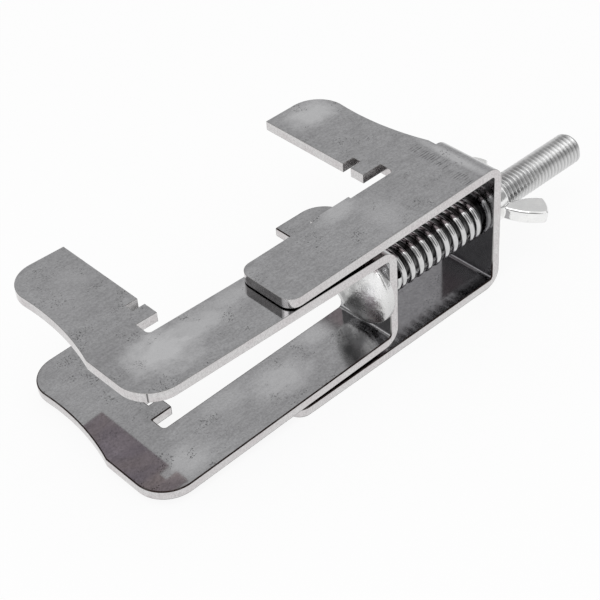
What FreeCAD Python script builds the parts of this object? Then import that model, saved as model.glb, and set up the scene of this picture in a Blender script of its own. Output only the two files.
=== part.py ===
"""Screw-operated clamp of two folded sheet brackets, one sliding inside the other.

Millimetres, +Z up. x = 0 is the gripping edge of the fixed jaw, y = 0 is the bolt's
axis, and z = 0 is the underside of the outer bracket, on which the clamp rests.
"""
import FreeCAD, Part
import math
import os
import re
import Sketcher

SIZES = {
    # both folded sheets
    "sheet_thickness": 3.0,
    "bend_inside": 1.0,
    "bend_outside": 5.2,
    "stem_width": 20.0,
    # outer bracket, which carries the fixed jaw
    "leg_beyond_head": 9.45,
    "outer_stem": 80.5,
    "outer_end_radius": 4.0,
    "web_from_root": 5.3,
    "toe_angle": 0.65,
    "land_from_web": 39.2,
    "land_length": 14.4,
    "land_rise": 0.9,
    # inner bracket, which carries the moving jaw
    "inner_stem": 85.8,
    "inner_corner_radius": 10.0,
    "jaw_opening": 74.3,
    "splay_angle": 1.65,
    "leg_clearance": 0.4,
    # jaws, alike on both brackets
    "jaw_length": 45.0,
    "jaw_waist": 20.4,
    "waist_from_stem": 27.5,
    "tip_radius": 9.6,
    "root_flare": 3.7,
    "root_from_stem": 2.9,
    "slot_width": 5.0,
    "slot_depth": 6.8,
    "slot_radius": 1.2,
    "tab_width": 5.0,
    "notch_width": 3.0,
    "notch_depth": 4.0,
    # carriage bolt
    "bolt_diameter": 9.85,
    "bolt_length": 88.5,
    "bolt_chamfer": 1.4,
    "thread_pitch": 1.5,
    "thread_depth": 0.8,
    "head_diameter": 23.6,
    "head_height": 5.4,
    "head_rim": 0.8,
    "neck_excess": 0.15,
    "neck_length": 6.0,
    "neck_corner": 1.2,
    "neck_clearance": 0.15,
    "hole_clearance": 0.4,
    # compression spring
    "wire_diameter": 1.95,
    "spring_clearance": 0.2,
    "open_turns": 8.5,
    "closed_coil_gap": 0.15,
    "spring_end_gap": 0.1,
    # wing nut
    "hub_height": 8.5,
    "hub_base_diameter": 15.0,
    "hub_top_diameter": 13.0,
    "hub_round": 0.8,
    "bore_clearance": 0.05,
    "seat_gap": 0.05,
    "wing_thickness": 4.5,
    "wing_root": 5.6,
    "wing_low": 5.2,
    "wing_tip_low": 13.9,
    "wing_tip_low_reach": 16.1,
    "wing_tip_high": 17.5,
    "wing_tip_high_reach": 10.7,
    "wing_low_curve": 20.0,
    "wing_high_curve": 17.0,
    "wing_tip_curve": 9.0,
    "wing_edge_round": 0.8,
    "nut_angle": 9.0,
}

doc = FreeCAD.newDocument("clamp")
sheet = doc.addObject("Spreadsheet::Sheet", "Sizes")
for row, (name, size) in enumerate(SIZES.items(), start=1):
    sheet.set(f"A{row}", name.replace("_", " "))
    sheet.set(f"B{row}", str(size))
    sheet.setAlias(f"B{row}", name)
working = doc.addObject("Spreadsheet::Sheet", "Working")
doc.recompute()

# Places that several pieces share
front = "(-stem_width / 2)"
back = "(stem_width / 2)"
tip = "(stem_width / 2 + jaw_length)"
outer_height = "(head_diameter + 2 * leg_beyond_head)"
axis_height = f"({outer_height} / 2)"
outer_root = "(jaw_waist + root_flare)"
outer_web = f"({outer_root} + web_from_root)"
outer_web_inside = f"({outer_web} - sheet_thickness)"
outer_end = f"({outer_web} - outer_stem)"
inner_grip = "(-jaw_opening)"
inner_root = f"({inner_grip} - {outer_root})"
inner_web = f"({inner_root} + inner_stem)"
inner_web_inside = f"({inner_web} - sheet_thickness)"
shoulder = f"({inner_web_inside} + neck_length)"
neck_half = "((bolt_diameter + neck_excess) / 2)"
coil_radius = "(bolt_diameter / 2 + spring_clearance + wire_diameter / 2)"


def formula(text):
    """The text with each size's name turned into a reference to its cell."""
    return re.sub(r"[a-z_]+", lambda word: "Sizes." + word[0] if word[0] in SIZES else word[0], text)


def number(text):
    """What a formula comes to now, for the first place of a sketch's geometry."""
    working.set("A1", "=" + formula(text))
    working.recompute()
    return float(working.get("A1"))


def bind(thing, prop, text):
    thing.setExpression(prop, formula(text))


def new_body(label):
    body = doc.addObject("PartDesign::Body", label)
    body.Label = label
    return body


def new_sketch(body, name, role):
    """A sketch on one of the body's own origin planes."""
    plane = next(item for item in body.Origin.OriginFeatures if item.Role == role)
    sketch = body.newObject("Sketcher::SketchObject", name)
    sketch.AttachmentSupport = [(plane, "")]
    sketch.MapMode = "FlatFace"
    return sketch


def pin_point(sketch, geometry, place, x, y):
    """Holds one point of a sketch at two formulas from the sketch's origin."""
    across = Sketcher.Constraint("DistanceX", -1, 1, geometry, place, number(x))
    bind(sketch, f"Constraints[{sketch.addConstraint(across)}]", x)
    up = Sketcher.Constraint("DistanceY", -1, 1, geometry, place, number(y))
    bind(sketch, f"Constraints[{sketch.addConstraint(up)}]", y)


def add_outline(sketch, steps):
    """A closed outline. Each step is (x, y) or (x, y, radius, turn).

    A step of four starts an arc to the next point: turn 1 bends left, turn -1 right.
    """
    points = [FreeCAD.Vector(number(step[0]), number(step[1]), 0) for step in steps]
    pieces = []
    for index, step in enumerate(steps):
        begin = points[index]
        finish = points[(index + 1) % len(points)]
        if len(step) == 2:
            geometry = sketch.addGeometry(Part.LineSegment(begin, finish))
            pieces.append((geometry, 1, 2))
        else:
            radius = number(step[2])
            turn = step[3]
            chord = finish - begin
            left = FreeCAD.Vector(-chord.y, chord.x, 0).normalize()
            middle = (begin + finish) * 0.5
            rise = math.sqrt(max(radius ** 2 - chord.Length ** 2 / 4, 0))
            centre = middle + left * (rise * turn)
            first, last = (begin, finish) if turn > 0 else (finish, begin)
            angles = [math.atan2(point.y - centre.y, point.x - centre.x) for point in (first, last)]
            circle = Part.Circle(centre, FreeCAD.Vector(0, 0, 1), radius)
            geometry = sketch.addGeometry(Part.ArcOfCircle(circle, angles[0], angles[1]))
            pieces.append((geometry, 1, 2) if turn > 0 else (geometry, 2, 1))
    for index, step in enumerate(steps):
        geometry, begin_place, finish_place = pieces[index]
        following, following_place, _ = pieces[(index + 1) % len(pieces)]
        sketch.addConstraint(
            Sketcher.Constraint("Coincident", geometry, finish_place, following, following_place))
        pin_point(sketch, geometry, begin_place, step[0], step[1])
        if len(step) == 4:
            round_size = Sketcher.Constraint("Radius", geometry, number(step[2]))
            bind(sketch, f"Constraints[{sketch.addConstraint(round_size)}]", step[2])


def add_circle(sketch, x, y, radius):
    centre = FreeCAD.Vector(number(x), number(y), 0)
    geometry = sketch.addGeometry(Part.Circle(centre, FreeCAD.Vector(0, 0, 1), number(radius)))
    pin_point(sketch, geometry, 3, x, y)
    size = Sketcher.Constraint("Radius", geometry, number(radius))
    bind(sketch, f"Constraints[{sketch.addConstraint(size)}]", radius)


def add_rectangle(sketch, left, bottom, right, top):
    add_outline(sketch, [(left, bottom), (right, bottom), (right, top), (left, top)])


def add_rounded_square(sketch, half, corner):
    """A square about the sketch's origin with rounded corners."""
    low = f"(-({half}))"
    add_outline(sketch, [
        (f"{low} + {corner}", low),
        (f"{half} - {corner}", low, corner, 1),
        (half, f"{low} + {corner}"),
        (half, f"{half} - {corner}", corner, 1),
        (f"{half} - {corner}", half),
        (f"{low} + {corner}", half, corner, 1),
        (low, f"{half} - {corner}"),
        (low, f"{low} + {corner}", corner, 1),
    ])


def cut_through(body, sketch, name):
    """A pocket through the whole body, both ways from its sketch. It must take something away."""
    before = body.Shape.Volume
    pocket = body.newObject("PartDesign::Pocket", name)
    pocket.Profile = sketch
    pocket.SideType = "Symmetric"
    pocket.Type = "ThroughAll"
    doc.recompute()
    if not body.Shape.Volume < before:
        raise RuntimeError(name + " cuts nothing")
    return pocket


def pad_jaw_reach(body, profile, name):
    """Pads a folded section from the stem's front edge back to the jaw's tip."""
    pad = body.newObject("PartDesign::Pad", name)
    pad.Profile = profile
    pad.SideType = "Two sides"
    bind(pad, "Length", "stem_width / 2")
    bind(pad, "Length2", tip)
    doc.recompute()
    return pad


def revolve(body, sketch, name):
    turned = body.newObject("PartDesign::Revolution", name)
    turned.Profile = sketch
    turned.ReferenceAxis = (sketch, ["H_Axis"])
    turned.Angle = 360
    doc.recompute()
    return turned


def folded_section(sketch, web, reach, low, high, low_spread, high_spread):
    """The section of a sheet folded twice at a web on its right.

    web is the web's outer face and reach how far the sheet goes from it. low and high
    are the heights of the outside folds' centres, and each spread is the angle by which
    a leg opens past square, so a leg that closes in has one below zero.
    """
    end = f"({reach} - bend_outside)"
    shift = "(bend_outside - sheet_thickness - bend_inside)"

    def fold(radius, side):
        """Centre and spread of one fold: the inside fold's centre lies a shift out from the other."""
        spread = high_spread if side > 0 else low_spread
        level = high if side > 0 else low
        if radius == "bend_outside":
            return f"({web} - bend_outside)", level, spread
        out = f"{shift} * (1 - sin({spread})) / cos({spread})"
        return f"({web} - sheet_thickness - bend_inside)", f"({level} + {side} * {out})", spread

    def leg_point(radius, along, side):
        """A point of a leg: square off the fold's centre by radius, then along the leg."""
        centre, level, spread = fold(radius, side)
        x = f"{centre} + {radius} * sin({spread}) - ({along}) * cos({spread})"
        rise = f"({radius} * cos({spread}) + ({along}) * sin({spread}))"
        return x, f"{level} + {side} * {rise}"

    inside_web = f"({web} - sheet_thickness)"
    add_outline(sketch, [
        leg_point("bend_outside", end, -1),
        (*leg_point("bend_outside", "0", -1), "bend_outside", 1),
        (web, low),
        (web, high, "bend_outside", 1),
        leg_point("bend_outside", "0", 1),
        leg_point("bend_outside", end, 1),
        leg_point("bend_inside", end, 1),
        (*leg_point("bend_inside", "0", 1), "bend_inside", -1),
        (inside_web, fold("bend_inside", 1)[1]),
        (inside_web, fold("bend_inside", -1)[1], "bend_inside", -1),
        leg_point("bend_inside", "0", -1),
        leg_point("bend_inside", end, -1),
    ])


def jaw_steps(grip, side):
    """A jaw's outline in plan, from its slot beside the stem round to its root.

    grip is the gripping edge, and side is 1 where the jaw's sheet lies on the +X side
    of it and -1 where it lies on the other. The round tip runs into a long hollow
    curve, which is narrowest at the waist and meets the root at a corner.
    """
    def off(distance):
        return f"{grip} + {side} * ({distance})"

    tab_start = f"{back} + slot_width"
    notch_start = f"{back} + slot_width + tab_width"
    notch_end = f"{back} + slot_width + tab_width + notch_width"
    hollow = "(((waist_from_stem - root_from_stem) ^ 2 + root_flare ^ 2) / (2 * root_flare))"
    climb = "(jaw_length - tip_radius - waist_from_stem)"
    span = f"sqrt(({hollow} + tip_radius) ^ 2 - {climb} ^ 2)"
    share = f"({hollow} / ({hollow} + tip_radius))"
    return [
        (off("slot_depth - slot_radius"), back, "slot_radius", side),
        (off("slot_depth"), f"{back} + slot_radius"),
        (off("slot_depth"), tab_start),
        (grip, tab_start),
        (grip, notch_start),
        (off("notch_depth"), notch_start),
        (off("notch_depth"), notch_end),
        (grip, notch_end),
        (grip, tip),
        (off(f"jaw_waist + {hollow} - {span}"), tip, "tip_radius", -side),
        (off(f"jaw_waist + {hollow} - {share} * {span}"),
         f"{back} + waist_from_stem + {share} * {climb}", hollow, side),
        (off("jaw_waist + root_flare"), f"{back} + root_from_stem"),
    ]


def trim_to_plan(body, steps, name):
    """Cuts the folded section to its outline in plan: all that lies round the outline goes."""
    plan = new_sketch(body, name + "_plan", "XY_Plane")
    margin = "(jaw_opening + inner_stem + outer_stem)"
    add_rectangle(plan, f"-{margin}", f"-{margin}", margin, margin)
    add_outline(plan, steps)
    cut_through(body, plan, name + "_trim")


def make_outer_bracket():
    """The outer bracket's lower leg lies flat, and its upper leg closes in a little."""
    body = new_body("outer_bracket")
    section = new_sketch(body, "outer_section", "XZ_Plane")
    folded_section(section, outer_web, "(outer_stem + stem_width)", "bend_outside",
                   f"({outer_height} - bend_outside)", "0", "(-toe_angle)")
    pad_jaw_reach(body, section, "outer_fold")

    land_right = f"({outer_web} - land_from_web)"
    land_left = f"({outer_web} - land_from_web - land_length)"
    steps = [
        (f"{outer_end} + outer_end_radius", back),
        (land_left, back),
        (land_left, f"{back} + land_rise"),
        (land_right, f"{back} + land_rise"),
        (land_right, back),
        *jaw_steps("0", 1),
        (outer_root, back),
        (outer_web, back),
        (outer_web, front),
        (f"{outer_end} + outer_end_radius", front, "outer_end_radius", -1),
        (outer_end, f"{front} + outer_end_radius"),
        (outer_end, f"{back} - outer_end_radius", "outer_end_radius", -1),
    ]
    trim_to_plan(body, steps, "outer")

    hole = new_sketch(body, "outer_hole", "YZ_Plane")
    add_circle(hole, "0", axis_height, "bolt_diameter / 2 + hole_clearance")
    cut_through(body, hole, "outer_hole_cut")
    return body


def make_inner_bracket():
    """The inner bracket's legs spread a little, and clear the outer's legs at their free ends."""
    body = new_body("inner_bracket")
    fold_edge = f"({inner_web} - bend_outside * (1 - sin(splay_angle)))"
    spread = f"(({fold_edge} - {outer_end}) * tan(splay_angle))"
    toe = f"(({outer_web} - bend_outside - {outer_end}) * tan(toe_angle))"
    room = f"(sheet_thickness + leg_clearance + {spread} + bend_outside * cos(splay_angle))"
    section = new_sketch(body, "inner_section", "XZ_Plane")
    folded_section(section, inner_web, "(inner_stem + stem_width)", room,
                   f"({outer_height} - {toe} - {room})", "splay_angle", "splay_angle")
    pad_jaw_reach(body, section, "inner_fold")

    steps = [
        (inner_web, front),
        (inner_web, back),
        *jaw_steps(inner_grip, -1),
        (inner_root, f"{front} + inner_corner_radius", "inner_corner_radius", 1),
        (f"{inner_root} + inner_corner_radius", front),
    ]
    trim_to_plan(body, steps, "inner")

    hole = new_sketch(body, "inner_hole", "YZ_Plane")
    hole.AttachmentOffset = FreeCAD.Placement()
    bind(hole, "AttachmentOffset.Base.y", axis_height)
    add_rounded_square(hole, f"({neck_half} + neck_clearance)", "neck_corner")
    cut_through(body, hole, "inner_hole_cut")
    return body


def place_on_axis(body, x):
    """Puts a round piece's own X axis on the bolt's axis."""
    bind(body, "Placement.Base.x", x)
    bind(body, "Placement.Base.z", axis_height)


def make_bolt():
    """Carriage bolt: mushroom head, square neck and plain shank, from the head's underside."""
    body = new_body("carriage_bolt")
    turned = new_sketch(body, "bolt_profile", "XZ_Plane")
    head = "(head_diameter / 2)"
    shank = "(bolt_diameter / 2)"
    dome = "(head_height - head_rim)"
    add_outline(turned, [
        ("-head_height", "0", f"({head} ^ 2 + {dome} ^ 2) / (2 * {dome})", -1),
        ("-head_rim", head),
        ("0", head),
        ("0", shank),
        ("bolt_length - bolt_chamfer", shank),
        ("bolt_length", f"{shank} - bolt_chamfer"),
        ("bolt_length", "0"),
    ])
    revolve(body, turned, "bolt_turned")

    neck = new_sketch(body, "neck_outline", "YZ_Plane")
    add_rounded_square(neck, neck_half, "neck_corner")
    pad = body.newObject("PartDesign::Pad", "bolt_neck")
    pad.Profile = neck
    bind(pad, "Length", "neck_length")
    doc.recompute()
    cut_thread(body)
    place_on_axis(body, inner_web_inside)
    return body


def cut_thread(body):
    """The thread's form along the whole shank, as rings at its pitch."""
    ring = new_sketch(body, "thread_ring", "XZ_Plane")
    middle = "(neck_length + thread_pitch)"
    half_root = "(thread_pitch / 16)"
    above = "(bolt_diameter / 2 + thread_depth / 10)"
    bottom = "(bolt_diameter / 2 - thread_depth)"
    add_outline(ring, [
        (f"{middle} - {half_root}", bottom),
        (f"{middle} + {half_root}", bottom),
        (f"{middle} + thread_pitch / 2", above),
        (f"{middle} - thread_pitch / 2", above),
    ])
    groove = body.newObject("PartDesign::Groove", "first_ring")
    groove.Profile = ring
    groove.ReferenceAxis = (ring, ["H_Axis"])
    groove.Angle = 360
    doc.recompute()

    rings = body.newObject("PartDesign::LinearPattern", "rings")
    rings.Originals = [groove]
    rings.Direction = (ring, ["H_Axis"])
    count = "floor((bolt_length - bolt_chamfer - neck_length) / thread_pitch - 1)"
    bind(rings, "Occurrences", count)
    bind(rings, "Length", f"({count} - 1) * thread_pitch")
    body.Tip = rings
    doc.recompute()


def add_coil(body, name, start, side, height, turns):
    """One stretch of the coil: a round wire that starts at start, on side 1 or -1 of the axis."""
    circle = new_sketch(body, name + "_wire", "XZ_Plane")
    add_circle(circle, start, f"{side} * {coil_radius}", "wire_diameter / 2")
    coil = body.newObject("PartDesign::AdditiveHelix", name)
    coil.Profile = circle
    coil.ReferenceAxis = (circle, ["H_Axis"])
    coil.Mode = "height-turns-angle"
    bind(coil, "Height", height)
    bind(coil, "Turns", turns)
    doc.recompute()
    return coil


def make_spring():
    """Compression spring: one closed turn, open turns and one closed turn, from the neck's shoulder."""
    body = new_body("spring")
    first = "(spring_end_gap + wire_diameter / 2)"
    room = f"({outer_web_inside} - {shoulder})"
    closed = "(wire_diameter + closed_coil_gap)"
    open_height = f"({room} - 2 * {first} - 2 * {closed})"
    add_coil(body, "near_coil", first, 1, closed, "1")
    add_coil(body, "open_coil", f"{first} + {closed}", 1, open_height, "open_turns")
    add_coil(body, "far_coil", f"{first} + {closed} + {open_height}", -1, closed, "1")
    place_on_axis(body, shoulder)
    return body


def make_wing_nut():
    """Forged wing nut: a plate with two wings that lean away from the web, and a round hub."""
    body = new_body("wing_nut")
    wings = new_sketch(body, "wing_outline", "XY_Plane")
    add_outline(wings, [
        ("hub_height", "-wing_root", "wing_high_curve", -1),
        ("wing_tip_high", "-wing_tip_high_reach", "wing_tip_curve", -1),
        ("wing_tip_low", "-wing_tip_low_reach", "wing_low_curve", -1),
        ("wing_low", "-wing_root"),
        ("wing_low", "wing_root", "wing_low_curve", -1),
        ("wing_tip_low", "wing_tip_low_reach", "wing_tip_curve", -1),
        ("wing_tip_high", "wing_tip_high_reach", "wing_high_curve", -1),
        ("hub_height", "wing_root"),
    ])
    plate = body.newObject("PartDesign::Pad", "wings")
    plate.Profile = wings
    plate.SideType = "Symmetric"
    bind(plate, "Length", "wing_thickness")
    doc.recompute()

    root = number("wing_root")
    edges = [
        f"Edge{index}"
        for index, edge in enumerate(plate.Shape.Edges, start=1)
        if max(abs(vertex.Y) for vertex in edge.Vertexes) > root + 1
    ]
    rounds = body.newObject("PartDesign::Fillet", "wing_rounds")
    rounds.Base = (plate, edges)
    bind(rounds, "Radius", "wing_edge_round")
    doc.recompute()

    hub = new_sketch(body, "hub_profile", "XZ_Plane")
    base = "(hub_base_diameter / 2)"
    top = "(hub_top_diameter / 2)"
    add_outline(hub, [
        ("0", "0"),
        ("0", base),
        ("hub_height - hub_round", top, "hub_round", -1),
        ("hub_height", f"{top} - hub_round"),
        ("hub_height", "0"),
    ])
    revolve(body, hub, "hub")

    bore = new_sketch(body, "bore_circle", "YZ_Plane")
    add_circle(bore, "0", "0", "bolt_diameter / 2 + bore_clearance")
    cut_through(body, bore, "bore")

    body.Placement = FreeCAD.Placement(FreeCAD.Vector(), FreeCAD.Rotation(FreeCAD.Vector(1, 0, 0), 1))
    place_on_axis(body, f"{outer_web} + seat_gap")
    bind(body, "Placement.Rotation.Angle", "nut_angle")
    return body


makers = (make_outer_bracket, make_inner_bracket, make_bolt, make_spring, make_wing_nut)
bodies = [make() for make in makers]
doc.removeObject(working.Name)
doc.recompute()

for item in doc.Objects:
    if "Invalid" in item.State or "Error" in item.State:
        raise RuntimeError(item.Name + " failed: " + str(item.State))
for body in bodies:
    if body.Shape.isNull() or not body.Shape.isValid() or len(body.Shape.Solids) != 1:
        raise RuntimeError(body.Label + " is not one valid solid")

os.makedirs("parts", exist_ok=True)
for body in bodies:
    body.Shape.exportStep(os.path.join("parts", body.Label + ".step"))
    print(body.Label, "volume", round(body.Shape.Volume, 1), body.Shape.BoundBox)
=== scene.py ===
"""Looks of a screw-operated sheet clamp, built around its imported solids.

Metres, +Z up, in the solids' own frame: the bolt runs along +X, and z = 0 is the
surface that the clamp rests on.
"""
import math

import bmesh
import bpy
from mathutils import Matrix, Vector


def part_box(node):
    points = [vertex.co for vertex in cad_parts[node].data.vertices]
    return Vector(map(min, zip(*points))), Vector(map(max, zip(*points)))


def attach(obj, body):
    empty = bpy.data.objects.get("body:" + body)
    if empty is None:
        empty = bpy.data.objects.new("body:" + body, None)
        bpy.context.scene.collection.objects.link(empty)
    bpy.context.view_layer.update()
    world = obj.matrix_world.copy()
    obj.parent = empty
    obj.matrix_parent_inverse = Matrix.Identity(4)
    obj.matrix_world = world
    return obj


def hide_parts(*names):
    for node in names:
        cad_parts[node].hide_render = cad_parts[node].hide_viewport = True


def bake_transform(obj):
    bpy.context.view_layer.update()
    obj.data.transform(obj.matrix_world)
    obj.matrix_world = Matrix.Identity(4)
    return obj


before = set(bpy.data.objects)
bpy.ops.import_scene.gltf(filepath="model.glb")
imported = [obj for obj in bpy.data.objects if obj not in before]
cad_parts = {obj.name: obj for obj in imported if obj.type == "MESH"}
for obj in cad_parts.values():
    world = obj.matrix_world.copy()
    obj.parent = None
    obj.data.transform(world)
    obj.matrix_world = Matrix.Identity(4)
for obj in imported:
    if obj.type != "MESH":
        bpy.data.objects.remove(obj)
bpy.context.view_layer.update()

MM = 0.001

# Places read from the solids
OUTER_LOW, OUTER_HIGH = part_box("outer_bracket")
INNER_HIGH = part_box("inner_bracket")[1]
BOLT_LOW, BOLT_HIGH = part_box("carriage_bolt")
SPRING_LOW, SPRING_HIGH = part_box("spring")
NUT_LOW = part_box("wing_nut")[0]
AXIS_HEIGHT = (OUTER_LOW.z + OUTER_HIGH.z) / 2
AXIS = Vector((0, 0, AXIS_HEIGHT))

# Vertices this close are one, in the solids' meshes and in those built here
DOUBLED_IN_SOLID = 1e-6
DOUBLED = 1e-7

# Folded sheets
FOLD_OUTSIDE = 5.2 * MM
WEB_MARGIN = 0.1 * MM
HOLE_REACH = 7.0 * MM
STEM_SIDE = 9.9 * MM
SAME_PLACE = 0.01 * MM
ONE_FLAT = math.radians(0.4)
SHARP = math.radians(35)
LEVEL = 0.02
HALF_TURNED = 0.5

# The fine break along their cut edges: full low down, where the cut's heat made it wider, and a
# share of that high up. Along the straight edges of the web it is graded in steps.
EDGE_BREAK = 0.32 * MM
FULL_BREAK_TO = 12.0 * MM
NARROW_BREAK_FROM = 24.0 * MM
NARROW_SHARE = 0.3
WEB_STEPS = 10
OUTLINE_CORNERS = 12
TURNBACK = math.radians(150)

# Tones of the sheets' rolled faces, cut edges and breaks
SHEET_DARK = (0.44, 0.437, 0.447)
SHEET_LIGHT = (0.54, 0.54, 0.55)
REFLECTION_TONE = (0.78, 0.78, 0.79)
SPECK_TONE = (0.06, 0.06, 0.062)
SCRATCH_TONE = (0.75, 0.75, 0.75)
INSIDE_SHADE_TONE = (0.06, 0.05, 0.07)
OXIDE_TONES = ((0.85, 0.75, 0.81), (0.87, 0.74, 0.71))
MARK_TONE = (0.07, 0.07, 0.075)
CUT_DARK = (0.60, 0.588, 0.588)
CUT_LIGHT = (0.72, 0.71, 0.708)
CUT_TINT = (0.94, 0.90, 0.91)
CUT_START_TONE = (0.05, 0.05, 0.05)
LOW_BREAK_TONE = (0.03, 0.020, 0.018)
BREAK_TONE = (0.30, 0.295, 0.29)

# Painted pale reflections on the rolled faces, each a place and a reach in mm and a strength
REFLECTION_PATCHES = (
    ((-82.5, 3, 38), (10, 8, 6), 1.0),
    ((-72, 4, 38), (12, 5, 6), 0.75),
    ((-57, 6, 38), (10, 3.5, 6), 0.55),
    ((-90, 36, 38), (8, 8, 6), 0.15),
    ((-81, 42, 38), (6, 5, 6), 0.25),
    ((-16, 9, 42), (7, 4, 3), 0.65),
    ((-9, -1, 42), (5, 8, 3), 0.35),
    ((11.5, 48, 42), (8, 6, 3), 0.9),
    ((22.6, 2, 42.5), (1.5, 13, 3), 0.75),
    ((-84, -3, 6), (7, 5, 4), 0.6),
    ((-63, 6, 6), (8, 4, 4), 0.35),
    ((-47, 1, 6), (9, 6, 4), 0.65),
    ((-29, 8, 6), (6, 4, 4), 0.6),
    ((-90, 38, 5), (5, 9, 4), 0.12),
)

# Along X the sheets go from glossy at the jaws to satin at the folds
GLOSSY_X = -62 * MM
SATIN_X = -38 * MM

# Painted shade on the outer bracket's lower leg, inside the fold. It comes in and fades out over
# these stretches of X and Y.
SHADE_LOW = 1.5 * MM
SHADE_HIGH = 5 * MM
SHADE_COMES_X = (-13 * MM, -11 * MM)
SHADE_FADES_Y = (9 * MM, 13 * MM)

# Where a face's normal counts as pointing down, for the tint of the undersides
UNDERSIDE_NORMAL = (-0.9, -0.6)

# A row of short press marks beside the outer bracket's upper fold. The half of it at y below 0
# lies further from the fold, by the shift.
MARKS_START = 16.6 * MM
MARKS_END = 19.9 * MM
MARKS_TAPER = 0.5 * MM
MARKS_STRAY = 0.6 * MM
MARKS_SHIFT = 1.4 * MM
MARKS_SHIFT_HALF = 0.5 * MM
MARKS_NEAR = -10.0 * MM
MARKS_FAR = 14.0 * MM
MARKS_ROW_FADE = 0.3 * MM
MARKS_SPACING = 0.88 * MM
MARKS_ABOVE = 42.0 * MM
MARKS_DEPTH = 0.2 * MM

# Where the cut of the inner bracket's outline began: a dark line on the upper leg's near edge
CUT_START_X = -95.4 * MM
CUT_START_WIDTH = 0.14 * MM
CUT_START_SOFT = 0.05 * MM
CUT_START_FADES_Y = (-3 * MM, -2 * MM)
CUT_START_COMES_Z = (34 * MM, 35 * MM)

# Over this height the near black of the edges' break fades out
DARK_FADES_Z = (8.0 * MM, 10.0 * MM)

# Carriage bolt
BOLT_SIDES = 96
HEAD_HEIGHT = 5.4 * MM
HEAD_RIM = 2.0 * MM
HEAD_BLEND = 0.28 * MM
HEAD_STEPS = 22
NECK_LENGTH = 6.0 * MM
NECK_HALF = 5.0 * MM
NECK_CORNER = 1.2 * MM
NECK_BREAK = 0.25 * MM
THREAD_RADIUS = 4.925 * MM
THREAD_DEPTH = 0.85 * MM
THREAD_PITCH = 1.5 * MM
THREAD_CHAMFER = 1.4 * MM
RUN_OUT_RADIUS = THREAD_RADIUS - 0.1 * MM
BOLT_SMOOTH_DEGREES = 38

# Painted reflections on the head, a dark one low down and a bright one high up, each a place and a
# reach in mm and a tone
HEAD_REFLECTIONS = (
    ((-20, 1, 15), (8, 7, 7), 0.20),
    ((-18.5, -7.5, 26), (5, 4, 9), 0.96),
)
REFLECTION_COVER = 0.85

# Spring
WIRE_RADIUS = 0.975 * MM
COIL_RADIUS = 6.1 * MM
CLOSED_RISE = 2.1 * MM
OPEN_TURNS = 8.5
WIRE_START = math.radians(169)
WIRE_STEPS = 72
WIRE_SIDES = 20
PITCH_EASE = 0.22
TANGENT_REACH = 0.001
WIRE_SMOOTH_DEGREES = 50

# Wing nut
NUT_VOXEL = 0.22 * MM
NUT_SOFTENINGS = 4

# The picture's camera, fitted to the photograph
CAMERA_PLACE = (-0.24043, -0.23599, 0.29013)
CAMERA_RIGHT = (0.72762, -0.68342, -0.05929)
CAMERA_DOWN = (-0.47442, -0.43891, -0.76308)
CAMERA_AHEAD = (0.49548, 0.58336, -0.64358)
CAMERA_SENSOR = 36
CAMERA_LENS = 92.18
CAMERA_SHIFT = (0.003865, 0.002557)
CAMERA_SEES_FROM = 0.01
CAMERA_SEES_TO = 20

# The studio
WHITE = 1.0
WORLD_LIGHT = 0.8
FLOOR_PAINT = 0.85
FLOOR_GLOW_SHARE = 0.9
FLOOR_HALF = 3.0
FLOOR_DROP = 0.02 * MM

# Plain cards that only gloss sees: name, place, target, width and height, and tone
CARDS = (
    ("sky_flag", (0.62, 0.73, 0.81), AXIS, (2.4, 1.9), 0.66),
    ("left_flag", (-0.45, 0.53, 0.52), AXIS, (0.60, 0.55), 0.28),
    ("front_flag", (0.60, -0.66, 0.45), AXIS, (0.8, 0.84), 0.36),
    ("camera_flag", (-0.60, -0.70, 0.75), (0, 0, 0.75), (0.9, 1.5), 0.26),
    # A dark card just above the floor behind the outer bracket: painted shade of the floor, seen
    # only in reflections
    ("floor_shade_card", (0.023, 0.0325, 0.0006), (0.023, 0.0325, 1.0), (0.044, 0.043), 0.10),
)

# Lamps that face the bolt: name, place, width and height, and watts
LAMPS = (
    ("key", (-0.30, -0.25, 0.80), (0.5, 0.5), 1.6),
    ("fill", (-0.75, -0.10, 0.40), (0.4, 0.4), 0.6),
)


def grey(tone):
    return (tone, tone, tone)


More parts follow.
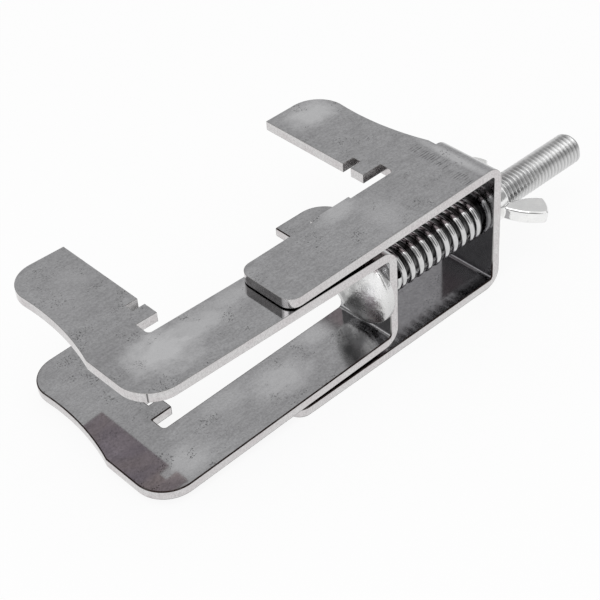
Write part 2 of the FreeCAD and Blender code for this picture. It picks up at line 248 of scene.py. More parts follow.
class Nodes:
    """A material's node tree with short calls for the nodes that these finishes use."""

    def __init__(self, name):
        self.material = bpy.data.materials.new(name)
        self.material.use_nodes = True
        self.tree = self.material.node_tree
        self.shader = self.tree.nodes["Principled BSDF"]
        coordinates = self.tree.nodes.new("ShaderNodeTexCoord")
        self.place = coordinates.outputs["Object"]
        self.normal = coordinates.outputs["Normal"]

    def link(self, start, end):
        self.tree.links.new(start, end)

    def scaled(self, scale):
        """The piece's own coordinates, in metres, times one scale or one for each axis."""
        mapping = self.tree.nodes.new("ShaderNodeMapping")
        mapping.inputs["Scale"].default_value = scale if isinstance(scale, tuple) else (scale,) * 3
        self.link(self.place, mapping.inputs["Vector"])
        return mapping.outputs["Vector"]

    def noise(self, scale, detail=3.0, roughness=0.5, distortion=0.0):
        node = self.tree.nodes.new("ShaderNodeTexNoise")
        node.inputs["Scale"].default_value = 1.0
        node.inputs["Detail"].default_value = detail
        node.inputs["Roughness"].default_value = roughness
        node.inputs["Distortion"].default_value = distortion
        self.link(self.scaled(scale), node.inputs["Vector"])
        return node.outputs["Fac"]

    def cells(self, scale, feature="F1"):
        """Distance from the nearest of some scattered points, or from the edge of its cell."""
        node = self.tree.nodes.new("ShaderNodeTexVoronoi")
        node.feature = feature
        node.inputs["Scale"].default_value = 1.0
        self.link(self.scaled(scale), node.inputs["Vector"])
        return node.outputs["Distance"]

    def patch(self, centre, reach, ragged):
        """1 at a place, fading to 0 at a reach along each axis, with a ragged rim."""
        mapping = self.tree.nodes.new("ShaderNodeMapping")
        mapping.inputs["Location"].default_value = [-c / r for c, r in zip(centre, reach)]
        mapping.inputs["Scale"].default_value = [1 / (r * MM) for r in reach]
        self.link(self.place, mapping.inputs["Vector"])
        away = self.tree.nodes.new("ShaderNodeVectorMath")
        away.operation = "LENGTH"
        self.link(mapping.outputs["Vector"], away.inputs[0])
        rim = self.math("ADD", away.outputs["Value"], ragged)
        return self.falling(rim, 0.45, 1.35)

    def part_of(self, vector, name):
        split = self.tree.nodes.new("ShaderNodeSeparateXYZ")
        self.link(vector, split.inputs["Vector"])
        return split.outputs[name]

    def axis(self, name):
        """The piece's own X, Y or Z, in metres."""
        return self.part_of(self.place, name)

    def ranged(self, value, low, high, to_low, to_high):
        """Carries one range over to another, and holds at its ends."""
        node = self.tree.nodes.new("ShaderNodeMapRange")
        ends = (("From Min", low), ("From Max", high), ("To Min", to_low), ("To Max", to_high))
        for name, number in ends:
            node.inputs[name].default_value = number
        self.link(value, node.inputs["Value"])
        return node.outputs["Result"]

    def rising(self, value, low, high):
        return self.ranged(value, low, high, 0.0, 1.0)

    def falling(self, value, low, high):
        return self.ranged(value, low, high, 1.0, 0.0)

    def within(self, value, low, high, soft):
        """1 between two values and 0 outside them."""
        rise = self.rising(value, low - soft, low + soft)
        fall = self.falling(value, high - soft, high + soft)
        return self.math("MULTIPLY", rise, fall)

    def ramp(self, value, *stops):
        """Colour by value. Each stop is (place, grey) or (place, (red, green, blue))."""
        node = self.tree.nodes.new("ShaderNodeValToRGB")
        elements = node.color_ramp.elements
        while len(elements) < len(stops):
            elements.new(0.5)
        for element, (place, tone) in zip(elements, stops):
            element.position = place
            element.color = (*(tone if isinstance(tone, tuple) else grey(tone)), 1)
        self.link(value, node.inputs["Fac"])
        return node.outputs["Color"]

    def math(self, operation, first, second=0.0):
        node = self.tree.nodes.new("ShaderNodeMath")
        node.operation = operation
        for socket, value in zip(node.inputs, (first, second)):
            if isinstance(value, (int, float)):
                socket.default_value = value
            else:
                self.link(value, socket)
        return node.outputs["Value"]

    def mixed(self, factor, first, second, blend="MIX"):
        node = self.tree.nodes.new("ShaderNodeMix")
        node.data_type = "RGBA"
        node.blend_type = blend
        if isinstance(factor, (int, float)):
            node.inputs["Factor"].default_value = factor
        else:
            self.link(factor, node.inputs["Factor"])
        colours = [item for item in node.inputs if item.type == "RGBA"]
        for socket, value in zip(colours, (first, second)):
            if isinstance(value, tuple):
                socket.default_value = (*value, 1)
            else:
                self.link(value, socket)
        return next(item for item in node.outputs if item.type == "RGBA")

    def times(self, factor, colour, other):
        return self.mixed(factor, colour, other, "MULTIPLY")

    def painted(self, mask, cover, colour, paint):
        """A colour with paint over it where the mask is 1, which covers it in part."""
        return self.mixed(self.math("MULTIPLY", mask, cover), colour, paint)

    def bump(self, height, distance, strength=1.0, before=None):
        node = self.tree.nodes.new("ShaderNodeBump")
        node.inputs["Distance"].default_value = distance
        node.inputs["Strength"].default_value = strength
        self.link(height, node.inputs["Height"])
        if before is not None:
            self.link(before, node.inputs["Normal"])
        return node.outputs["Normal"]

    def metal(self, colour, roughness, normal):
        self.shader.inputs["Metallic"].default_value = 1.0
        self.link(colour, self.shader.inputs["Base Color"])
        self.link(roughness, self.shader.inputs["Roughness"])
        self.link(normal, self.shader.inputs["Normal"])
        return self.material


def painted_reflections(n, ragged):
    """How far a place is inside one of the painted pale reflections."""
    pale = None
    for centre, reach, strength in REFLECTION_PATCHES:
        patch = n.math("MULTIPLY", n.patch(centre, reach, ragged), strength)
        pale = patch if pale is None else n.math("MAXIMUM", pale, patch)
    return pale


# Painted shade inside the fold, on the outer bracket's lower leg
def painted_shade_in_fold(n):
    low = n.within(n.axis("Z"), SHADE_LOW, SHADE_HIGH, 0.5 * MM)
    beside = n.math("MULTIPLY", low, n.rising(n.axis("X"), *SHADE_COMES_X))
    return n.math("MULTIPLY", beside, n.falling(n.axis("Y"), *SHADE_FADES_Y))


def press_marks(n):
    """A row of short dark strokes along X, each with its own start, end and strength."""
    across = n.axis("Y")
    row = n.math("DIVIDE", across, MARKS_SPACING)
    count = n.math("FLOOR", row)
    own = n.tree.nodes.new("ShaderNodeTexWhiteNoise")
    own.noise_dimensions = "1D"
    n.link(count, own.inputs["W"])
    chance = own.outputs["Value"]
    place = n.math("SUBTRACT", row, count)
    middle = n.math("SUBTRACT", place, n.ranged(chance, 0, 1, 0.3, 0.7))
    line = n.falling(n.math("ABSOLUTE", middle), 0.08, 0.24)
    stray = n.ranged(chance, 0, 1, -MARKS_STRAY, MARKS_STRAY)
    moved = n.math("SUBTRACT", n.axis("X"), stray)
    shift = n.ranged(across, -MARKS_SHIFT_HALF, MARKS_SHIFT_HALF, MARKS_SHIFT, 0.0)
    span = n.within(n.math("ADD", moved, shift), MARKS_START, MARKS_END, MARKS_TAPER)
    row_ends = n.within(across, MARKS_NEAR, MARKS_FAR, MARKS_ROW_FADE)
    on_top = n.rising(n.axis("Z"), MARKS_ABOVE - MARKS_DEPTH, MARKS_ABOVE)
    broken = n.ranged(n.noise(500, 2.0), 0.36, 0.52, 0.15, 1.0)
    strength = n.math("MULTIPLY", n.ranged(chance, 0.15, 0.6, 0.3, 1.0), broken)
    stroke = n.math("MULTIPLY", line, span)
    where = n.math("MULTIPLY", row_ends, on_top)
    return n.math("MULTIPLY", stroke, n.math("MULTIPLY", where, strength))


def rolled_sheet(name):
    """Cold rolled sheet: satin grey, smeared, with painted pale reflections, specks, faint
    scratches and press marks, painted shade inside the fold and an oxide tint on the undersides."""
    n = Nodes(name)
    cloud = n.noise((34, 48, 48), 5.0, 0.62, 0.6)
    blotch = n.noise((210, 260, 260), 4.0, 0.65, 0.3)
    smear = n.noise((170, 620, 620), 3.0, 0.55, 1.6)
    fine = n.noise(1500, 3.0, 0.7)
    grain = n.noise((70, 2400, 2400), 2.0)
    colour = n.ramp(cloud, (0.30, SHEET_DARK), (0.70, SHEET_LIGHT))
    colour = n.times(0.4, colour, n.ramp(blotch, (0.32, 0.80), (0.66, 1.0)))
    colour = n.times(0.6, colour, n.ramp(smear, (0.40, 0.84), (0.56, 1.0)))
    colour = n.times(0.7, colour, n.ramp(fine, (0.36, 0.70), (0.60, 1.0)))

    # Painted pale reflections, placed where soft reflections fall on the sheets
    pale = painted_reflections(n, n.ranged(blotch, 0.25, 0.75, -0.4, 0.4))
    colour = n.painted(pale, 0.75, colour, REFLECTION_TONE)

    crowd = n.noise((105, 120, 120), 3.0, 0.6)
    rare = n.ranged(crowd, 0.50, 0.64, 0.72, 0.57)
    speck = n.rising(n.math("SUBTRACT", n.noise(2300, 2.0, 0.6), rare), 0.0, 0.04)
    colour = n.painted(speck, 0.8, colour, SPECK_TONE)

    scratch = n.falling(n.cells((60, 420, 420), "DISTANCE_TO_EDGE"), 0.003, 0.012)
    scratch = n.math("MULTIPLY", scratch, n.ranged(crowd, 0.55, 0.7, 0.0, 0.14))
    colour = n.mixed(scratch, colour, SCRATCH_TONE)

    # Painted shade inside the fold
    colour = n.painted(painted_shade_in_fold(n), 0.36, colour, INSIDE_SHADE_TONE)
    under = n.falling(n.part_of(n.normal, "Z"), *UNDERSIDE_NORMAL)
    purple, brown = OXIDE_TONES
    colour = n.times(under, colour, n.ramp(cloud, (0.38, purple), (0.62, brown)))
    colour = n.painted(press_marks(n), 0.85, colour, MARK_TONE)

    rough = n.math("ADD", n.math("MULTIPLY", cloud, 0.2), n.math("MULTIPLY", fine, 0.2))
    rough = n.math("ADD", rough, n.math("MULTIPLY", pale, 0.3))
    rough = n.ranged(rough, 0.15, 0.6, 0.04, 0.12)
    roughness = n.math("ADD", rough, n.ranged(n.axis("X"), GLOSSY_X, SATIN_X, 0.0, 0.07))
    normal = n.bump(n.noise((26, 32, 32), 1.0), 0.03 * MM)
    normal = n.bump(grain, 0.0015 * MM, 0.6, normal)
    normal = n.bump(fine, 0.0025 * MM, 0.5, normal)
    return n.metal(colour, roughness, normal)


def cut_edge(name):
    """Laser cut edge: pale steel with fine drag lines across the sheet's thickness."""
    n = Nodes(name)
    drag = n.noise((3600, 3600, 260), 2.0, 0.6)
    patches = n.noise((140, 140, 420))
    grain = n.noise(1700, 3.0, 0.7)
    colour = n.ramp(drag, (0.2, CUT_DARK), (0.75, CUT_LIGHT))
    colour = n.times(0.8, colour, n.ramp(patches, (0.3, CUT_TINT), (0.62, 1.0)))
    colour = n.times(0.7, colour, n.ramp(grain, (0.36, 0.72), (0.58, 1.0)))
    start_low, start_high = CUT_START_X - CUT_START_WIDTH, CUT_START_X + CUT_START_WIDTH
    start = n.within(n.axis("X"), start_low, start_high, CUT_START_SOFT)
    front = n.falling(n.axis("Y"), *CUT_START_FADES_Y)
    high = n.rising(n.axis("Z"), *CUT_START_COMES_Z)
    mark = n.math("MULTIPLY", start, n.math("MULTIPLY", front, high))
    colour = n.painted(mark, 0.8, colour, CUT_START_TONE)
    roughness = n.ranged(drag, 0.2, 0.8, 0.14, 0.24)
    return n.metal(colour, roughness, n.bump(drag, 0.006 * MM, 0.6))


def edge_line(name):
    """The narrow break along a cut edge: dark grey, and near black low down on the lower legs."""
    n = Nodes(name)
    patches = n.noise(220)
    low = n.falling(n.axis("Z"), *DARK_FADES_Z)
    # Near black low down, in ragged patches
    low_dark = n.math("MULTIPLY", low, n.ranged(patches, 0.25, 0.5, 0.7, 1.0))
    colour = n.mixed(low_dark, BREAK_TONE, LOW_BREAK_TONE)
    roughness = n.ranged(patches, 0.3, 0.7, 0.3, 0.45)
    return n.metal(colour, roughness, n.bump(patches, 0.004 * MM))


def plated(name, dark, light, rough_low, rough_high, dimple, patches=()):
    """Zinc plating over forged or rolled steel: bright, a little cloudy, with soft dimples, and
    painted reflections where patches are given.
    """
    n = Nodes(name)
    cloud = n.noise(240, 4.0, 0.6, 0.3)
    grit = n.noise(1500, 3.0, 0.6)
    colour = n.ramp(cloud, (0.3, dark), (0.7, light))
    colour = n.times(0.5, colour, n.ramp(n.cells(520), (0.05, 0.55), (0.11, 1.0)))
    ragged = n.ranged(cloud, 0.25, 0.75, -0.5, 0.5)
    # Painted reflections, where patches are given
    for centre, reach, tone in patches:
        colour = n.painted(n.patch(centre, reach, ragged), REFLECTION_COVER, colour, grey(tone))
    rough = n.math("ADD", cloud, n.math("MULTIPLY", grit, 0.5))
    roughness = n.ranged(rough, 0.5, 1.0, rough_low, rough_high)
    normal = n.bump(cloud, dimple)
    normal = n.bump(grit, 0.006 * MM, 0.6, normal)
    return n.metal(colour, roughness, normal)


def rolled_thread(name, root, crest, shade_under_spring):
    """Plated thread, with painted shade at its roots and under the spring."""
    n = Nodes(name)
    across = n.axis("Y")
    up = n.math("SUBTRACT", n.axis("Z"), AXIS_HEIGHT)
    square = n.math("ADD", n.math("MULTIPLY", across, across), n.math("MULTIPLY", up, up))
    # Darker towards the roots: painted shade in the thread's hollows
    height = n.rising(n.math("SQRT", square), THREAD_RADIUS - THREAD_DEPTH, RUN_OUT_RADIUS)
    cloud = n.noise(420)
    colour = n.mixed(height, root, crest)
    colour = n.times(0.6, colour, n.ramp(cloud, (0.3, 0.8), (0.7, 1.0)))
    # Painted shade on the thread where the spring covers it
    spring_shade = n.falling(n.axis("X"), SPRING_HIGH.x, NUT_LOW.x)
    colour = n.mixed(spring_shade, colour, shade_under_spring)
    roughness = n.ranged(cloud, 0.3, 0.7, 0.28, 0.38)
    return n.metal(colour, roughness, n.bump(cloud, 0.02 * MM))


def drawn_wire(name, dark, light):
    """Polished spring wire with faint drawing marks."""
    n = Nodes(name)
    cloud = n.noise(420)
    colour = n.ramp(cloud, (0.3, dark), (0.7, light))
    roughness = n.ranged(cloud, 0.3, 0.7, 0.03, 0.06)
    return n.metal(colour, roughness, n.bump(n.noise((2600, 900, 900), 2.0), 0.0015 * MM, 0.6))


def link_new(name, data):
    piece = bpy.data.objects.new(name, data)
    bpy.context.scene.collection.objects.link(piece)
    return piece


def built(name, vertices, faces):
    """A piece from lists of vertices and faces, with doubled vertices joined."""
    mesh = bpy.data.meshes.new(name)
    mesh.from_pydata(vertices, [], faces)
    shape = bmesh.new()
    shape.from_mesh(mesh)
    bmesh.ops.remove_doubles(shape, verts=shape.verts, dist=DOUBLED)
    bmesh.ops.dissolve_degenerate(shape, edges=shape.edges, dist=DOUBLED)
    bmesh.ops.recalc_face_normals(shape, faces=shape.faces)
    shape.to_mesh(mesh)
    shape.free()
    return link_new(name, mesh)


def copied(node, name, flat_angle=0):
    """A new piece with a CAD node's faces, joined up, and flat areas made into single faces."""
    shape = bmesh.new()
    shape.from_mesh(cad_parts[node].data)
    bmesh.ops.remove_doubles(shape, verts=shape.verts, dist=DOUBLED_IN_SOLID)
    if flat_angle:
        bmesh.ops.dissolve_limit(
            shape, angle_limit=flat_angle, verts=shape.verts, edges=shape.edges,
            use_dissolve_boundaries=False)
    bmesh.ops.recalc_face_normals(shape, faces=shape.faces)
    for face in shape.faces:
        face.smooth = True
    mesh = bpy.data.meshes.new(name)
    shape.to_mesh(mesh)
    shape.free()
    return link_new(name, mesh)


def settle(piece):
    """Applies a piece's modifiers."""
    graph = bpy.context.evaluated_depsgraph_get()
    mesh = bpy.data.meshes.new_from_object(piece.evaluated_get(graph))
    piece.modifiers.clear()
    piece.data = mesh


def smooth(piece, sharp_degrees):
    piece.data.shade_smooth()
    piece.data.set_sharp_from_angle(angle=math.radians(sharp_degrees))


def dress(piece, node, body):
    """The piece stands for a CAD node and rides on its body."""
    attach(piece, body)
    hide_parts(node)


def next_part(edge, start, share):
    """Splits an edge at a share of its length from one end: the rest and where that begins."""
    far = edge.other_vert(start)
    added, vertex = bmesh.utils.edge_split(edge, start, share)
    rest = next(item for item in (edge, added) if far in item.verts)
    return rest, vertex


def is_sharp(edge):
    return edge.is_manifold and edge.calc_face_angle() > SHARP


def runs_up_web(edge):
    first, second = (vertex.co.y for vertex in edge.verts)
    return abs(first - second) < SAME_PLACE and abs(first) > STEM_SIDE


def weigh_edges(mesh):
    """Marks a sheet's sharp edges with the width of their break.

    The long edges up the web are split, so that the width changes along a straight line.
    """
    shape = bmesh.new()
    shape.from_mesh(mesh)
    for edge in list(shape.edges):
        low, high = sorted(vertex.co.z for vertex in edge.verts)
        if is_sharp(edge) and low < FULL_BREAK_TO and high > NARROW_BREAK_FROM:
            start = edge.verts[0]
            for left in range(WEB_STEPS, 1, -1):
                edge, start = next_part(edge, start, 1 / left)
    weight = shape.edges.layers.float.new("bevel_weight_edge")
    for edge in shape.edges:
        if is_sharp(edge):
            middle = (edge.verts[0].co.z + edge.verts[1].co.z) / 2
            upward = (middle - FULL_BREAK_TO) / (NARROW_BREAK_FROM - FULL_BREAK_TO)
            upward = min(max(upward, 0), 1)
            narrowed = upward if runs_up_web(edge) else float(upward > 0)
            edge[weight] = 1.0 + (NARROW_SHARE - 1.0) * narrowed
    shape.to_mesh(mesh)
    shape.free()


def weld_turnbacks(mesh):
    """Welds the points of a sheet's outlines at which the break runs back over itself."""
    shape = bmesh.new()
    shape.from_mesh(mesh)
    targets = {}
    for face in shape.faces:
        if len(face.verts) > OUTLINE_CORNERS:
            for loop in face.loops:
                before, here, after = loop.link_loop_prev.vert, loop.vert, loop.link_loop_next.vert
                first, second = here.co - before.co, after.co - here.co
                if first.angle(second, 0) > TURNBACK:
                    targets[here] = before if first.length < second.length else after
    bmesh.ops.weld_verts(shape, targetmap=targets)
    bmesh.ops.dissolve_degenerate(shape, edges=shape.edges, dist=DOUBLED)
    shape.to_mesh(mesh)
    shape.free()


def is_rolled(face, web_face):
    """Whether a bracket's face is as rolled, and no cut edge or hole's wall."""
    level = abs(face.normal.y) < LEVEL
    on_leg = abs(face.normal.z) > HALF_TURNED
    on_web = face.center.x > web_face - FOLD_OUTSIDE - WEB_MARGIN
    off_axis = math.hypot(face.center.y, face.center.z - AXIS_HEIGHT)
    in_hole = on_web and off_axis < HOLE_REACH and abs(face.normal.x) < HALF_TURNED
    return level and (on_leg or on_web) and not in_hole


def make_bracket(node, name, body, web_face, finishes):
    """A folded sheet: its faces as rolled, its outline as cut, and a fine break between them."""
    piece = copied(node, name, ONE_FLAT)
    rolled, cut, broken = range(len(finishes))
    for material in finishes:
        piece.data.materials.append(material)
    for face in piece.data.polygons:
        face.material_index = rolled if is_rolled(face, web_face) else cut
    weigh_edges(piece.data)
    bevel = piece.modifiers.new("break", "BEVEL")
    bevel.width = EDGE_BREAK
    bevel.segments = 2
    bevel.limit_method = "WEIGHT"
    bevel.use_clamp_overlap = False
    bevel.material = broken
    settle(piece)
    weld_turnbacks(piece.data)
    even = piece.modifiers.new("even", "WEIGHTED_NORMAL")
    even.mode = "FACE_AREA"
    even.weight = 100
    even.keep_sharp = True
    settle(piece)
    dress(piece, node, body)


def rounded_square_radius(angle, half, corner):
    """How far a rounded square's outline is from its centre at an angle."""
    turn = (angle + math.pi / 4) % (math.pi / 2) - math.pi / 4
    flat = half / math.cos(turn)
    centre = half - corner
    away = abs(turn)
    if flat * math.sin(away) <= centre:
        return flat
    along = centre * (math.cos(away) + math.sin(away))
    across = centre * (math.cos(away) - math.sin(away))
    return along + math.sqrt(max(corner ** 2 - across ** 2, 0))


def head_rings():
    """Half section of the mushroom head, from its top to its underside.

    Each point is (x from the underside, radius).
    """
    radius = (BOLT_HIGH.z - BOLT_LOW.z) / 2
    rise = HEAD_HEIGHT - HEAD_RIM
    dome = (radius ** 2 + rise ** 2) / (2 * rise)
    widest = math.asin(radius / dome)
    rings = []
    for step in range(1, HEAD_STEPS):
        angle = widest * step / HEAD_STEPS
        rings.append((-HEAD_RIM - rise + dome * (1 - math.cos(angle)), dome * math.sin(angle)))
    return rings + [
        (-HEAD_RIM - HEAD_BLEND * 0.35, radius - HEAD_BLEND * 0.9),
        (-HEAD_RIM + HEAD_BLEND * 0.2, radius - HEAD_BLEND * 0.25),
        (-HEAD_RIM + HEAD_BLEND * 0.9, radius),
        (-HEAD_BLEND * 0.7, radius),
        (-HEAD_BLEND * 0.2, radius - HEAD_BLEND * 0.2),
        (0, radius - HEAD_BLEND * 0.7),
    ]


def thread_section():
    """Half section of one pitch of thread: (share of the pitch, radius)."""
    root = THREAD_RADIUS - THREAD_DEPTH
    shoulder = THREAD_RADIUS - 0.035 * MM
    flank = THREAD_RADIUS - 0.44 * MM
    foot = root + 0.05 * MM
    return [
        (-0.075, shoulder),
        (-0.04, THREAD_RADIUS),
        (0.04, THREAD_RADIUS),
        (0.075, shoulder),
        (0.25, flank),
        (0.42, foot),
        (0.5, root),
        (0.58, foot),
        (0.75, flank),
    ]


def round_axis(x, radius, angle):
    """A point at a radius and an angle round the bolt's axis."""
    return (x, radius * math.cos(angle), AXIS_HEIGHT + radius * math.sin(angle))


def head_skin(angles, seat, shoulder):
    """Vertices and faces of the mushroom head and the square neck."""
    around = len(angles)
    rings = [[(seat + x, radius)] * around for x, radius in head_rings()]
    neck = [rounded_square_radius(angle, NECK_HALF, NECK_CORNER) for angle in angles]
    rings.append([(seat, radius) for radius in neck])
    rings.append([(shoulder - NECK_BREAK, radius) for radius in neck])
    rings.append([(shoulder, radius - NECK_BREAK) for radius in neck])
    rings.append([(shoulder, RUN_OUT_RADIUS)] * around)
    vertices = [(BOLT_LOW.x, 0, AXIS_HEIGHT)]
    for ring in rings:
        vertices += [round_axis(x, radius, angle) for (x, radius), angle in zip(ring, angles)]
    faces = [(0, 1 + (index + 1) % around, 1 + index) for index in range(around)]
    for ring in range(len(rings) - 1):
        here = 1 + ring * around
        beyond = here + around
        for index in range(around):
            following = (index + 1) % around
            faces.append((here + index, here + following, beyond + following, beyond + index))
    return vertices, faces


def thread_skin(angles, shoulder, end, base):
    """Vertices and faces of the right-hand thread and the bolt's end.

    They are numbered from base, the number of vertices before them.
    """
    around = len(angles)
    section = thread_section()
    turns = math.ceil((end - shoulder) / THREAD_PITCH) + 2
    start = shoulder - 1.5 * THREAD_PITCH
    points = turns * len(section)
    vertices = []
    for index, angle in enumerate(angles):
        for turn in range(turns):
            for share, radius in section:
                x = start + THREAD_PITCH * (turn + share + index / around)
                limit = THREAD_RADIUS - THREAD_CHAMFER + max(end - x, 0)
                if x <= shoulder:
                    radius = RUN_OUT_RADIUS
                kept = min(max(x, shoulder), end)
                vertices.append(round_axis(kept, min(radius, limit), angle))
    faces = []
    for index in range(around):
        column = base + index * points
        closing = index + 1 == around
        beside = base + len(section) if closing else column + points
        for point in range(points - 1 - (len(section) if closing else 0)):
            here, there = column + point, beside + point
            faces.append((here, there, there + 1, here + 1))
    cap = [base + index * points + points - 1 for index in range(around)]
    centre = base + len(vertices)
    vertices.append((end, 0, AXIS_HEIGHT))
    faces += [(cap[index], cap[(index + 1) % around], centre) for index in range(around)]
    return vertices, faces


def make_bolt(head_finish, thread_finish):
    """Carriage bolt: mushroom head, square neck and right-hand thread, all one skin."""
    seat = BOLT_LOW.x + HEAD_HEIGHT
    shoulder = seat + NECK_LENGTH
    angles = [2 * math.pi * index / BOLT_SIDES for index in range(BOLT_SIDES)]
    vertices, faces = head_skin(angles, seat, shoulder)
    more_vertices, more_faces = thread_skin(angles, shoulder, BOLT_HIGH.x, len(vertices))
    piece = built("bolt_with_thread", vertices + more_vertices, faces + more_faces)
    piece.data.materials.append(head_finish)
    piece.data.materials.append(thread_finish)
    for face in piece.data.polygons:
        face.material_index = 1 if face.center.x > shoulder - SAME_PLACE else 0
    smooth(piece, BOLT_SMOOTH_DEGREES)
    dress(piece, "carriage_bolt", "inner")


def make_spring(material):
    """Round wire wound right-hand: a closed turn, the open turns and a closed turn."""
    total = OPEN_TURNS + 2
    first = SPRING_LOW.x + WIRE_RADIUS
    last = SPRING_HIGH.x - WIRE_RADIUS
    open_rise = (last - first - 2 * CLOSED_RISE) / OPEN_TURNS

    def rise(turn):
        """x of the wire's centre after some turns."""
        if turn < 1:
            return first + CLOSED_RISE * turn
        if turn > 1 + OPEN_TURNS:
            return last - CLOSED_RISE * (total - turn)
        return first + CLOSED_RISE + open_rise * (turn - 1)

    def eased(turn):
        """The same, with the changes of pitch spread over a stretch of wire."""
        nearby = [turn + share * PITCH_EASE for share in (-1, -0.5, 0, 0.5, 1)]
        return sum(rise(min(max(item, 0), total)) for item in nearby) / len(nearby)

    def centre(turn):
        return Vector(round_axis(eased(turn), COIL_RADIUS, 2 * math.pi * turn + WIRE_START))

    count = round(total * WIRE_STEPS)
    vertices = []
    for step in range(count + 1):
        turn = step / WIRE_STEPS
        middle = centre(turn)
        ahead = (centre(turn + TANGENT_REACH) - centre(turn - TANGENT_REACH)).normalized()
        outward = (middle - Vector((middle.x, 0, AXIS_HEIGHT))).normalized()
        outward = (outward - ahead * outward.dot(ahead)).normalized()
        across = ahead.cross(outward)
        for side in range(WIRE_SIDES):
            angle = 2 * math.pi * side / WIRE_SIDES
            away = outward * math.cos(angle) + across * math.sin(angle)
            vertices.append(tuple(middle + away * WIRE_RADIUS))
    faces = []
    for step in range(count):
        here = step * WIRE_SIDES
        beyond = here + WIRE_SIDES
        for side in range(WIRE_SIDES):
            following = (side + 1) % WIRE_SIDES
            faces.append((here + side, here + following, beyond + following, beyond + side))
    faces.append(tuple(range(WIRE_SIDES)))
    faces.append(tuple(range(count * WIRE_SIDES, (count + 1) * WIRE_SIDES)))
    piece = built("spring_coil", vertices, faces)
    piece.data.materials.append(material)
    smooth(piece, WIRE_SMOOTH_DEGREES)
    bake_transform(piece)
    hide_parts("spring")


def make_nut(material):
    """Forged wing nut: the solid's form with its edges and roots flowed together."""
    piece = copied("wing_nut", "forged_wing_nut")
    remesh = piece.modifiers.new("skin", "REMESH")
    remesh.mode = "VOXEL"
    remesh.voxel_size = NUT_VOXEL
    soften = piece.modifiers.new("soften", "SMOOTH")
    soften.factor = 0.5
    soften.iterations = NUT_SOFTENINGS
    settle(piece)
    piece.data.materials.clear()
    piece.data.materials.append(material)
    piece.data.shade_smooth()
    dress(piece, "wing_nut", "nut")


def emptied(owner):
    """The node tree of a world or material, without nodes."""
    owner.use_nodes = True
    owner.node_tree.nodes.clear()
    return owner.node_tree


def coloured(tree, kind, tone):
    """A plain grey shader of one kind."""
    node = tree.nodes.new(kind)
    node.inputs["Color"].default_value = (*grey(tone), 1)
    return node.outputs[0]


def larger(tree, first, second):
    node = tree.nodes.new("ShaderNodeMath")
    node.operation = "MAXIMUM"
    tree.links.new(first, node.inputs[0])
    tree.links.new(second, node.inputs[1])
    return node.outputs[0]


def sees_backdrop(tree):
    """1 for rays from the camera, from gloss and through glass, and 0 for the rest."""
    path = tree.nodes.new("ShaderNodeLightPath")
    seen = larger(tree, path.outputs["Is Camera Ray"], path.outputs["Is Glossy Ray"])
    return larger(tree, seen, path.outputs["Is Transmission Ray"])


def blended(tree, factor, first, second):
    mix = tree.nodes.new("ShaderNodeMixShader")
    tree.links.new(factor, mix.inputs["Fac"])
    tree.links.new(first, mix.inputs[1])
    tree.links.new(second, mix.inputs[2])
    return mix.outputs[0]


def put_out(tree, kind, surface):
    output = tree.nodes.new(kind)
    tree.links.new(surface, output.inputs["Surface"])


def rectangle(name, half_wide, half_high, level=0):
    """A rectangle across Z, round the origin."""
    signs = ((-1, -1), (1, -1), (1, 1), (-1, 1))
    corners = [(across * half_wide, up * half_high, level) for across, up in signs]
    return built(name, corners, [(0, 1, 2, 3)])


def make_world():
    """White to the camera and in reflections, a soft grey as a light."""
    world = bpy.data.worlds.new("studio")
    bpy.context.scene.world = world
    tree = emptied(world)
    lit = coloured(tree, "ShaderNodeBackground", WORLD_LIGHT)
    seen = coloured(tree, "ShaderNodeBackground", WHITE)
    put_out(tree, "ShaderNodeOutputWorld", blended(tree, sees_backdrop(tree), lit, seen))


def make_floor():
    """A plain pale floor that stays white to the camera and keeps a faint shadow."""
    material = bpy.data.materials.new("floor")
    tree = emptied(material)
    paint = coloured(tree, "ShaderNodeBsdfDiffuse", FLOOR_PAINT)
    glow = coloured(tree, "ShaderNodeEmission", WHITE)
    share = tree.nodes.new("ShaderNodeMath")
    share.operation = "MULTIPLY"
    share.inputs[1].default_value = FLOOR_GLOW_SHARE
    tree.links.new(sees_backdrop(tree), share.inputs[0])
    put_out(tree, "ShaderNodeOutputMaterial", blended(tree, share.outputs[0], paint, glow))
    floor = rectangle("floor", FLOOR_HALF, FLOOR_HALF, -FLOOR_DROP)
    floor.data.materials.append(material)


def turned_to(place, target, front):
    """Stands at a place with one of its axes towards a target."""
    facing = (Vector(target) - Vector(place)).to_track_quat(front, "Y").to_matrix().to_4x4()
    return Matrix.Translation(Vector(place)) @ facing


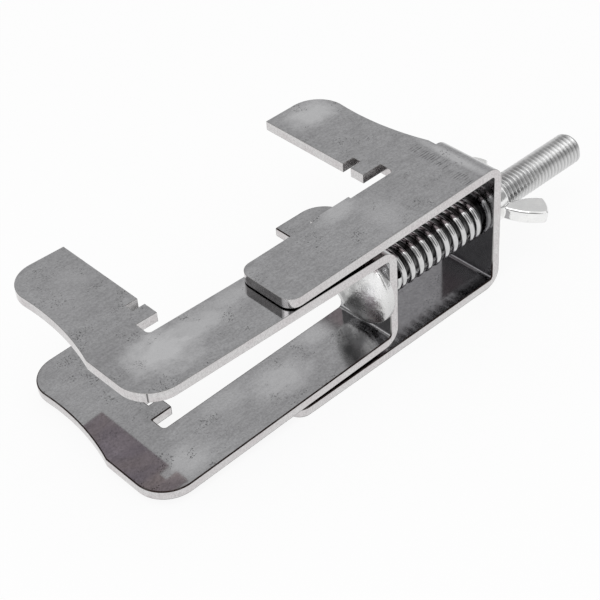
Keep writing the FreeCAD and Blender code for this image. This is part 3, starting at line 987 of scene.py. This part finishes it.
def make_card(name, place, target, size, tone):
    """A plain card that only gloss sees, as a photographer's flag. It faces its target."""
    material = bpy.data.materials.new(name)
    tree = emptied(material)
    put_out(tree, "ShaderNodeOutputMaterial", coloured(tree, "ShaderNodeEmission", tone))
    card = rectangle(name, size[0] / 2, size[1] / 2)
    card.data.materials.append(material)
    card.matrix_world = turned_to(place, target, "Z")
    card.visible_camera = False
    card.visible_diffuse = False
    card.visible_shadow = False


def make_lamp(name, place, size, watts):
    lamp = bpy.data.lights.new(name, "AREA")
    lamp.shape = "RECTANGLE"
    lamp.size, lamp.size_y = size
    lamp.energy = watts
    link_new(name, lamp).matrix_world = turned_to(place, AXIS, "-Z")


def make_camera():
    lens = bpy.data.cameras.new("camera")
    lens.sensor_width = CAMERA_SENSOR
    lens.lens = CAMERA_LENS
    lens.shift_x, lens.shift_y = CAMERA_SHIFT
    lens.clip_start = CAMERA_SEES_FROM
    lens.clip_end = CAMERA_SEES_TO
    camera = link_new("camera", lens)
    axes = Matrix((CAMERA_RIGHT, -Vector(CAMERA_DOWN), -Vector(CAMERA_AHEAD))).transposed()
    camera.matrix_world = Matrix.Translation(Vector(CAMERA_PLACE)) @ axes.to_4x4()
    bpy.context.scene.camera = camera


sheet_finishes = (
    rolled_sheet("rolled_sheet_face"),
    cut_edge("cut_sheet_edge"),
    edge_line("sheet_edge_break"),
)
make_bracket("outer_bracket", "outer_sheet", "outer", OUTER_HIGH.x, sheet_finishes)
make_bracket("inner_bracket", "inner_sheet", "inner", INNER_HIGH.x, sheet_finishes)
make_bolt(
    plated(
        "zinc_bolt_head", grey(0.46), (0.80, 0.80, 0.79),
        rough_low=0.16, rough_high=0.34, dimple=0.24 * MM, patches=HEAD_REFLECTIONS),
    # The root tone and the tone under the spring are painted shade
    rolled_thread("zinc_bolt_thread", root=grey(0.44), crest=grey(0.74), shade_under_spring=grey(0.16)))
make_spring(drawn_wire("spring_wire_metal", grey(0.54), grey(0.66)))
make_nut(plated(
    "zinc_nut_plating", grey(0.80), (0.92, 0.92, 0.91),
    rough_low=0.07, rough_high=0.16, dimple=0.12 * MM))

make_world()
make_floor()
for card in CARDS:
    make_card(*card)
for lamp in LAMPS:
    make_lamp(*lamp)
make_camera()
bpy.context.scene.view_settings.view_transform = "Standard"
